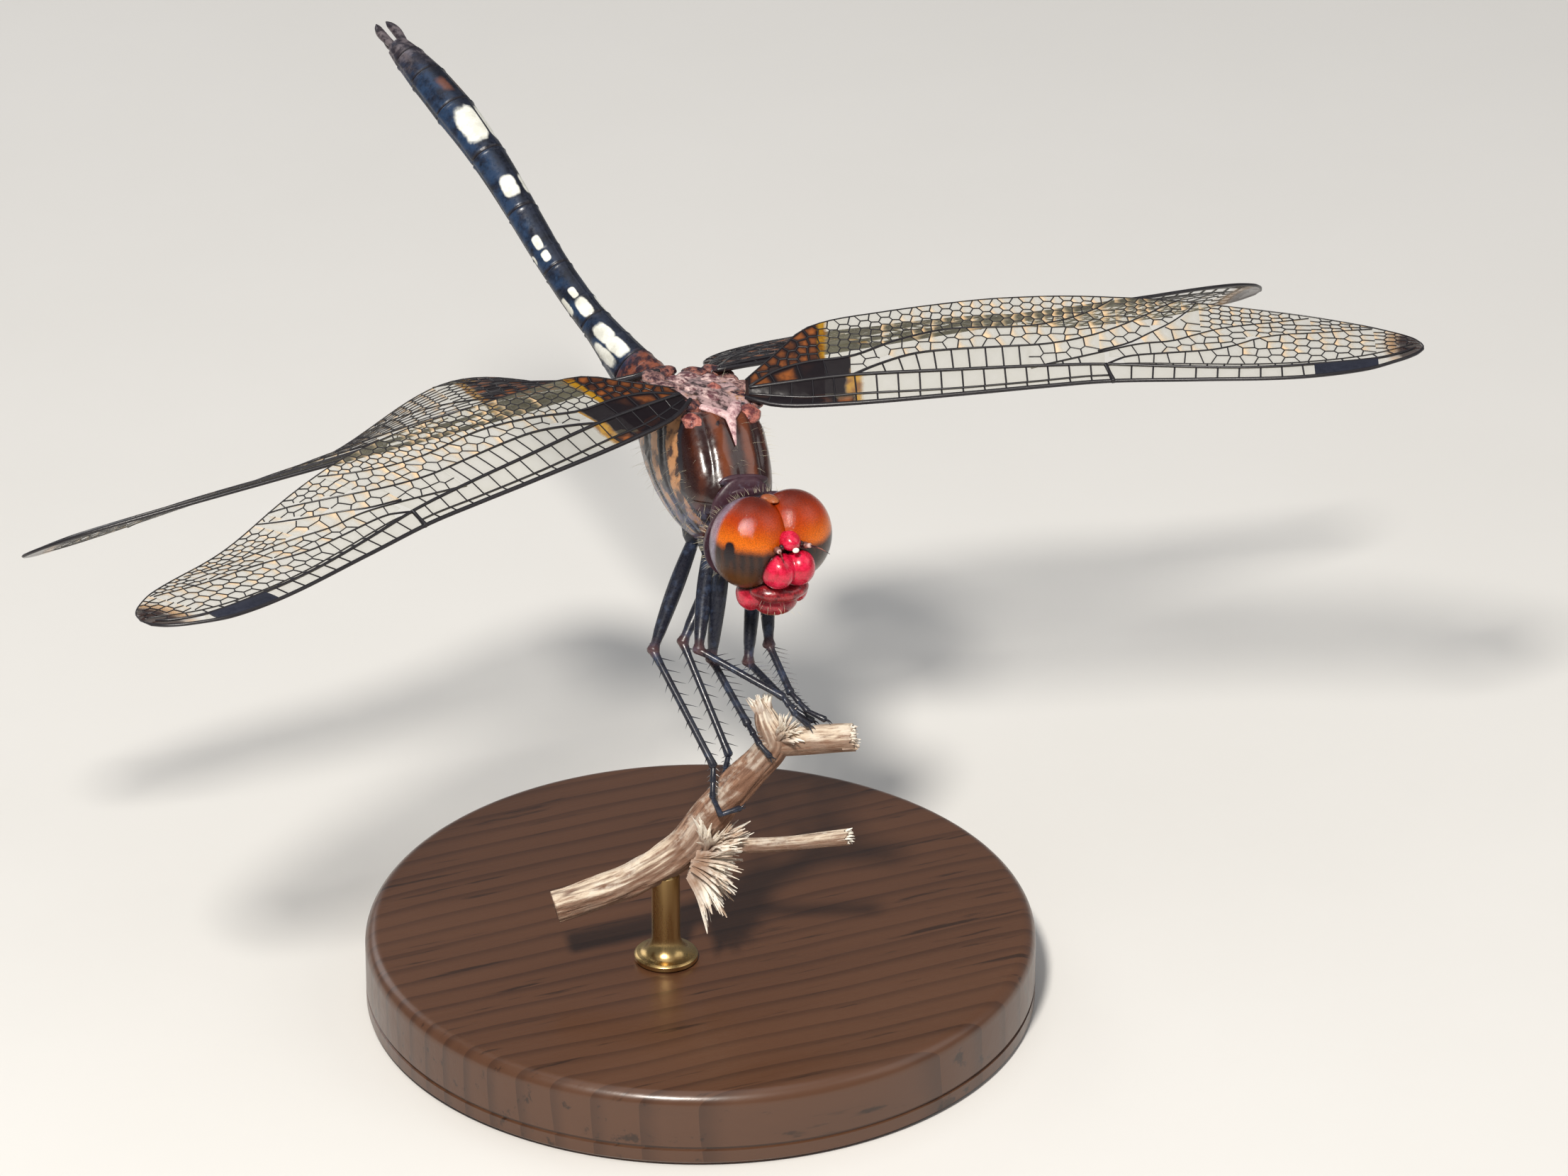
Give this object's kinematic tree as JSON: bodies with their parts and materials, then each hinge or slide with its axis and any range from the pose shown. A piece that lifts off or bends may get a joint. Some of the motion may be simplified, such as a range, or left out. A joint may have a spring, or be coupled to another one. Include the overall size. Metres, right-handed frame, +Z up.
{
  "type": "dragonfly",
  "caption": "Life-size male setwing dragonfly with spread wings and a raised slim abdomen, gripping a cut twig held by a rod on a round display base.",
  "frame": {"origin": "centre of the underside of the display base", "axes": "+X towards the insect's left, across the wings; -Y ahead of the insect, where it looks; +Z up"},
  "size_m": [0.0768, 0.0612, 0.0433],
  "materials": {
    "eye": "glossy amber red above, dark brown below",
    "face_crimson": "glossy crimson",
    "face_rust": "satin rust red",
    "head_dark": "dark purplish brown",
    "thorax": "glossy chestnut with black stripes",
    "abdomen": "blue black with cream spots",
    "leg": "glossy black",
    "wing": "clear membrane with black veins",
    "bark": "rough pale bark",
    "splinters": "frayed pale wood",
    "stand_wood": "dark satin wood",
    "stand_brass": "satin brass"
  },
  "bodies": {
    "root": {"eye_left": "eye", "mandible_left": "face_rust", "antenna_left": "head_dark", "eye_right": "eye", "mandible_right": "face_rust", "antenna_right": "head_dark", "vertex": "face_crimson", "frons": "face_crimson", "clypeus": "face_rust", "labrum": "face_rust", "labium": "face_rust", "head_back": "head_dark", "neck": "head_dark", "prothorax": "head_dark", "thorax": "thorax", "abdomen_1": "abdomen", "abdomen_2": "abdomen", "abdomen_3": "abdomen", "abdomen_4": "abdomen", "abdomen_5": "abdomen", "abdomen_6": "abdomen", "abdomen_7": "abdomen", "abdomen_8": "abdomen", "abdomen_9": "abdomen", "abdomen_10": "abdomen", "cercus_left": "abdomen", "cercus_right": "abdomen", "epiproct": "abdomen", "forewing_left": "wing", "forewing_right": "wing", "hindwing_left": "wing", "hindwing_right": "wing", "front_left_femur": "leg", "front_left_tibia": "leg", "front_left_tarsus": "leg", "front_right_femur": "leg", "front_right_tibia": "leg", "front_right_tarsus": "leg", "mid_left_femur": "leg", "mid_left_tibia": "leg", "mid_left_tarsus": "leg", "mid_right_femur": "leg", "mid_right_tibia": "leg", "mid_right_tarsus": "leg", "hind_left_femur": "leg", "hind_left_tibia": "leg", "hind_left_tarsus": "leg", "hind_right_femur": "leg", "hind_right_tibia": "leg", "hind_right_tarsus": "leg", "twig_stem": "bark", "twig_stub": "bark", "twig_branchlet": "bark", "twig_tuft": "splinters", "stand_base": "stand_wood", "stand_rod": "stand_brass"}
  },
  "joints": []
}
